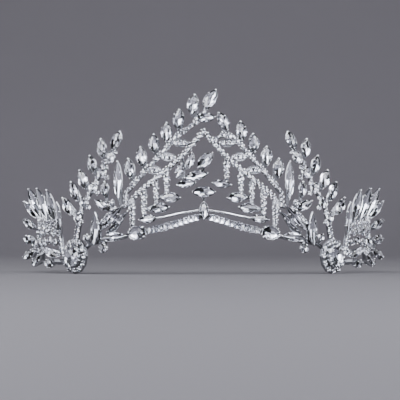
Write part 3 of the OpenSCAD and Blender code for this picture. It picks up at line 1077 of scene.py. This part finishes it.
class CROWN_OT_round_stones(CrownOperator):
    """Cuts the round stones and sets each in a wall with claws"""
    bl_idname = "crown.round_stones"
    bl_label = "Round Stones"

    def execute(self, context):
        sizes = context.scene.crown_stones
        small, large, wing_round = small_round(), large_round(), large_round(WING_SHADED)
        small_wall, large_wall = small_round_wall(), large_round_wall()
        claw = claw_shape()
        # Solids wider than these are large stones, and the flowers' hearts
        large_width, heart_width = 2.1 * MM, 5 * MM
        for node in round_nodes():
            setting = Setting()
            seats = seats_in(node, "round")
            if node.startswith("drop"):
                seats = tapered(seats)
            for seat in seats:
                shape, wall, grow, claws = small, small_wall, 0.3, 4
                if seat.width > large_width and not node.startswith("drop"):
                    shape = wing_round if node.startswith("wing") else large
                    wall, grow = large_wall, 2
                if seat.width > heart_width:
                    grow, claws = 4, 8
                width = seat.width + grow * sizes.grow
                seat = seat._replace(width=width, length=width)
                setting.add(shape, wall, seat)
                setting.metal += round_claws(claw, seat, sizes.claw, seat.along, claws)
            setting.join(node + "_cut", node + "_setting", node)
        discard(small, large, wing_round, small_wall, large_wall, claw)
        return {"FINISHED"}


class CROWN_OT_end_stones(CrownOperator):
    """Cuts the two oblong stones at the ends of the base rail"""
    bl_idname = "crown.end_stones"
    bl_label = "End Stones"

    def execute(self, context):
        sizes = context.scene.crown_stones
        edges = oblong_edges(corner=0.3)
        upper = []
        for place, facing in edges:
            upper += [((place, facing), sizes.girdle, 0.2),
                      ((place - facing * 0.12, facing), 0.8, 0.25)]
        oblong = cut_stone("oblong", edges, upper, edges, SHADED[:1])
        wall = wall_ring("oblong", edges)
        claw = claw_shape()
        for side in SIDES:
            node = "end_stone_" + side
            setting = Setting()
            for seat in seats_in(node, "oblong"):
                seat = seat._replace(width=seat.width + 2 * sizes.grow,
                                     length=seat.length + 2 * sizes.grow)
                setting.add(oblong, wall, seat)
                setting.metal += corner_claws(claw, seat, sizes.claw)
            setting.join(node + "_cut", node + "_setting", node)
        discard(oblong, wall, claw)
        return {"FINISHED"}


class CROWN_OT_stem_ovals(CrownOperator):
    """Sets the larger ovals along the second stems"""
    bl_idname = "crown.stem_ovals"
    bl_label = "Stem Ovals"

    def execute(self, context):
        size = context.scene.crown_stones.claw
        oval, wall, claw = large_round(), large_round_wall(), claw_shape()
        for side, sign in SIDES.items():
            setting = Setting()
            for seat in stem_ovals(sign):
                setting.add(oval, wall, seat)
                setting.metal += round_claws(claw, seat, size, seat.along)
            setting.join("stem_ovals_" + side, "stem_ovals_setting_" + side)
        discard(oval, wall, claw)
        return {"FINISHED"}


class CROWN_OT_base_row(CrownOperator):
    """Sets the narrow stones side by side along the base rail"""
    bl_idname = "crown.base_row"
    bl_label = "Base Row"

    def execute(self, context):
        sizes = context.scene.crown_stones
        edges = oblong_edges()
        upper = facets(edges, low=sizes.girdle, inset=0.2)
        baguette, wall = cut_stone("baguette", edges, upper, edges), wall_ring("baguette", edges)
        start, both_ends, filled, height = 3.0 * MM, 5.6 * MM, 0.88, 0.95 * MM
        for side, sign in SIDES.items():
            line = on_side(RAIL_LOW, sign)
            count = int((length_of(line) - both_ends) / sizes.base_pitch)
            setting = Setting()
            for place in walk(line, start, sizes.base_pitch, count):
                seat = round_seat(place, sizes.base_stone)
                setting.add(baguette, wall, seat._replace(
                    width=filled * sizes.base_pitch, height=height))
            setting.join("base_row_" + side, "base_row_setting_" + side)
        discard(baguette, wall)
        return {"FINISHED"}


class CROWN_OT_fill_stones(CrownOperator):
    """Studs the sprays, the stems, the wings and the fan with small round stones"""
    bl_idname = "crown.fill_stones"
    bl_label = "Fill Stones"

    def execute(self, context):
        sizes = context.scene.crown_stones
        small, wall, claw = small_round(), small_round_wall(), claw_shape()
        taken = [(seat, True) for node in leaf_nodes() for seat in seats_in(node, "leaf")]
        taken += [(seat, False) for node in round_nodes() for seat in seats_in(node, "round")]
        for side, sign in SIDES.items():
            setting = Setting()
            seats = stud_seats(side, sign, taken)
            for seat in seats:
                setting.add(small, wall, seat)
                if seat.width >= sizes.fill_stone:
                    setting.metal += round_claws(claw, seat, FINE_CLAW * sizes.claw,
                                                 neighbour_way(seat, seats))
            setting.join("fill_rounds_" + side, "fill_rounds_setting_" + side)
        discard(small, wall, claw)
        return {"FINISHED"}


class CROWN_OT_wires(CrownOperator):
    """Lays smooth round wires on the bare strips of the frame"""
    bl_idname = "crown.wires"
    bl_label = "Wires"

    def execute(self, context):
        radius = context.scene.crown_metal.wire / 2
        longest, shortest, out = 4 * MM, 0.05 * MM, -0.25 * MM
        rod = rod_shape()
        lines = {"spray_wire_left": SPRAY_LINES["left"], "spray_wire_right": SPRAY_LINES["right"],
                 "rail_wire_left": on_side(RAIL_HIGH, -1), "rail_wire_right": RAIL_HIGH,
                 "second_wire_left": on_side(SECOND_LINE, -1), "second_wire_right": SECOND_LINE}
        for name, line in lines.items():
            count = math.ceil(length_of(line) / longest)
            points = walk(line, 0, length_of(line) / count, count + 1) + metres(line[1:-1])
            points.sort(key=lambda p: reach_on(line, p))
            places = [on_crown(p.x, p.y, out) for p in points]
            pieces = [between(rod, a, b, radius) for a, b in zip(places, places[1:])
                      if (b - a).length > shortest]
            joined(name, pieces, "silver")
        discard(rod)
        return {"FINISHED"}


# ---- The stage, in metres and watts

CROWN_MIDDLE = (0, 0, 0.035)
# Place, width, height and strength of the lights in front and behind
SOFTBOXES = (
    ((-0.9, 0.35, 1.0), 0.35, 0.35, 6),
    ((0.0, -0.62, 0.62), 0.8, 0.09, 3.2),
    ((0.0, -0.4, 0.85), 0.8, 0.09, 3.2),
    ((-0.7, 0.5, 0.3), 0.5, 0.6, 2.0),
    ((0.7, 0.5, 0.3), 0.5, 0.6, 1.6),
)
# Upright strips on both sides: degrees from the front, and share of the strength
STRIPS = ((24, 1.8), (41, 1.7), (58, 1.3), (75, 0.8), (95, 0.4))
# Cards that lie in front and light the stones' lower facets: distance of both their edges
CARDS = ((0.09, 0.105), (0.135, 0.16), (0.22, 0.26), (0.34, 0.4))


def aim(thing, target):
    """Turns a light or the camera to a target."""
    way = Vector(target) - thing.location
    thing.rotation_euler = way.to_track_quat("-Z", "Y").to_euler()


class CROWN_OT_stage(CrownOperator):
    """Makes the floor, the lights and the camera"""
    bl_idname = "crown.stage"
    bl_label = "Stage"

    def execute(self, context):
        sizes = context.scene.crown_stage
        self.backdrop(sizes)
        self.room(context, sizes)
        self.lights(context, sizes)
        self.camera(context, sizes)
        return {"FINISHED"}

    def backdrop(self, sizes, bend=1.6, steps=32, rise=3):
        """A sheet of paper that lies flat and then bends up behind the crown."""
        floor = begin("floor", bpy.ops.mesh.primitive_plane_add, (8, 3, 1), size=1,
                      location=(0, -0.6, 0))
        select(floor, "EDGE", "edges", lambda edge: all(
            floor.data.vertices[v].co.y > 0 for v in edge.vertices))
        for i in range(steps):
            turn = math.pi / 2 * (i + 0.5) / steps
            step = bend * math.pi / 2 / steps
            extrude(0, step * math.cos(turn), step * math.sin(turn))
        extrude(0, 0, rise)
        bpy.ops.object.mode_set(mode="OBJECT")
        bpy.ops.object.shade_smooth()
        paper = Finish("backdrop_paper", {"Specular IOR Level": 0.2})
        mottle = paper.noise(9, 3)
        far = paper.node("ShaderNodeMapRange", {"interpolation_type": "SMOOTHSTEP"},
                         {"Value": paper.axis(paper.place(), "Y"), "From Min": 0.1,
                          "From Max": bend})
        tone = paper.blend(far, sizes.floor, sizes.backdrop)
        lighter = paper.blend(far, shade(sizes.floor, 1.05), shade(sizes.backdrop, 1.05))
        paper.feed("Base Color", paper.blend(mottle, tone, lighter))
        paper.feed("Roughness", 0.75 + 0.1 * mottle)
        floor.data.materials.append(paper.material)

    def room(self, context, sizes):
        """Dark and bright panels for the stones to mirror; the camera sees plain grey."""
        world = bpy.data.worlds.new("studio")
        context.scene.world = world
        world.use_nodes = True
        room = Nodes(world.node_tree)
        way = room.node("ShaderNodeTexCoord", {}, {}, "Generated")
        rise, ahead = room.axis(way, "Z"), -1 * room.axis(way, "Y")
        band = room.ramp(rise, ((0.0, 0.2), (0.25, 1.0), (0.75, 1.1), (0.95, 0.9)))
        ring = room.ramp(ahead, ((0.3, 0.0), (0.5, 1.0), (0.88, 1.0), (0.97, 0.3)))
        patches = room.node("ShaderNodeTexNoise", {}, {"Vector": way, "Scale": 4.5, "Detail": 1.5},
                            "Fac")
        panels = room.ramp(patches, (
            (0.42, (0.01, 0.011, 0.013)), (0.49, (0.51, 0.53, 0.61)), (0.58, (0.51, 0.53, 0.61)),
            (0.64, (9.2, 9.3, 9.8))))
        bright = room.node("ShaderNodeVectorMath", {"operation": "SCALE"},
                           {0: panels, "Scale": 0.2 * band + 0.3 * ring})
        seen = room.node("ShaderNodeLightPath", {}, {}, "Is Camera Ray")
        ground = world.node_tree.nodes["Background"]
        plug(room.tree, ground.inputs["Color"], room.blend(seen, bright, (0.16, 0.165, 0.175)))
        ground.inputs["Strength"].default_value = sizes.light

    def lights(self, context, sizes, away=0.7, above=0.27):
        """Softboxes, strips around the front at one distance and height, and floor cards."""
        boxes = [(place, CROWN_MIDDLE, *rest) for place, *rest in SOFTBOXES]
        for turn, share in STRIPS:
            for side, watts in ((-1, 1.5 * share), (1, 1.3 * share)):
                angle = math.radians(turn) * side
                place = (away * math.sin(angle), -away * math.cos(angle), above)
                boxes.append((place, CROWN_MIDDLE, 0.075, 0.5, watts))
        for near, far in CARDS:
            place = (0, -(near + far) / 2, 0.001)
            boxes.append((place, (0, place[1], 1), 0.8, far - near, 2 * (far - near)))
        for place, target, width, height, watts in boxes:
            bpy.ops.object.light_add(type="AREA", location=place)
            light = context.object
            light.name = light.data.name = "softbox"
            light.data.shape = "RECTANGLE"
            light.data.size, light.data.size_y = width, height
            light.data.energy = watts * sizes.light
            light.data.color = (0.9, 0.92, 1.0)
            aim(light, target)
            light.visible_camera = False

    def camera(self, context, sizes, left=0.0015, aim_height=0.0305):
        """A long lens straight in front, a little to the left of the middle."""
        front = PLAN_Y - 0.01
        bpy.ops.object.camera_add(
            location=(-left, front - sizes.camera_distance, sizes.camera_height))
        camera = context.object
        camera.name = camera.data.name = "camera"
        camera.data.sensor_width, camera.data.lens = 36, 149
        camera.data.clip_start, camera.data.clip_end = 0.01, 30
        aim(camera, (-left, front, aim_height))
        context.scene.camera = camera


# ---- Panel and registration


class CROWN_PT_panel(bpy.types.Panel):
    """Lists the crown's steps and sizes"""
    bl_idname = "CROWN_PT_panel"
    bl_label = "Rhinestone Crown"
    bl_space_type = "VIEW_3D"
    bl_region_type = "UI"
    bl_category = "Crown"

    def draw(self, context):
        layout = self.layout
        for step in STEPS:
            layout.operator(step.bl_idname)
        for name, kind in GROUPS.items():
            box = layout.box()
            for size in kind.__annotations__:
                box.prop(getattr(context.scene, name), size)


STEPS = (CROWN_OT_stage, CROWN_OT_metal, CROWN_OT_leaf_stones, CROWN_OT_round_stones,
         CROWN_OT_end_stones, CROWN_OT_stem_ovals, CROWN_OT_base_row, CROWN_OT_fill_stones,
         CROWN_OT_wires)
GROUPS = {"crown_stones": CrownStoneSizes, "crown_metal": CrownMetalSizes,
          "crown_stage": CrownStageSizes}
CLASSES = (*GROUPS.values(), *STEPS, CROWN_PT_panel)


def register():
    for item in CLASSES:
        bpy.utils.register_class(item)
    for name, kind in GROUPS.items():
        setattr(bpy.types.Scene, name, PointerProperty(type=kind))


def unregister():
    for name in GROUPS:
        delattr(bpy.types.Scene, name)
    for item in reversed(CLASSES):
        bpy.utils.unregister_class(item)


def main():
    register()
    bpy.ops.crown.stage()
    bpy.ops.crown.metal()
    bpy.ops.crown.leaf_stones()
    bpy.ops.crown.round_stones()
    bpy.ops.crown.end_stones()
    bpy.ops.crown.stem_ovals()
    bpy.ops.crown.base_row()
    bpy.ops.crown.fill_stones()
    bpy.ops.crown.wires()


if __name__ == "__main__":
    main()
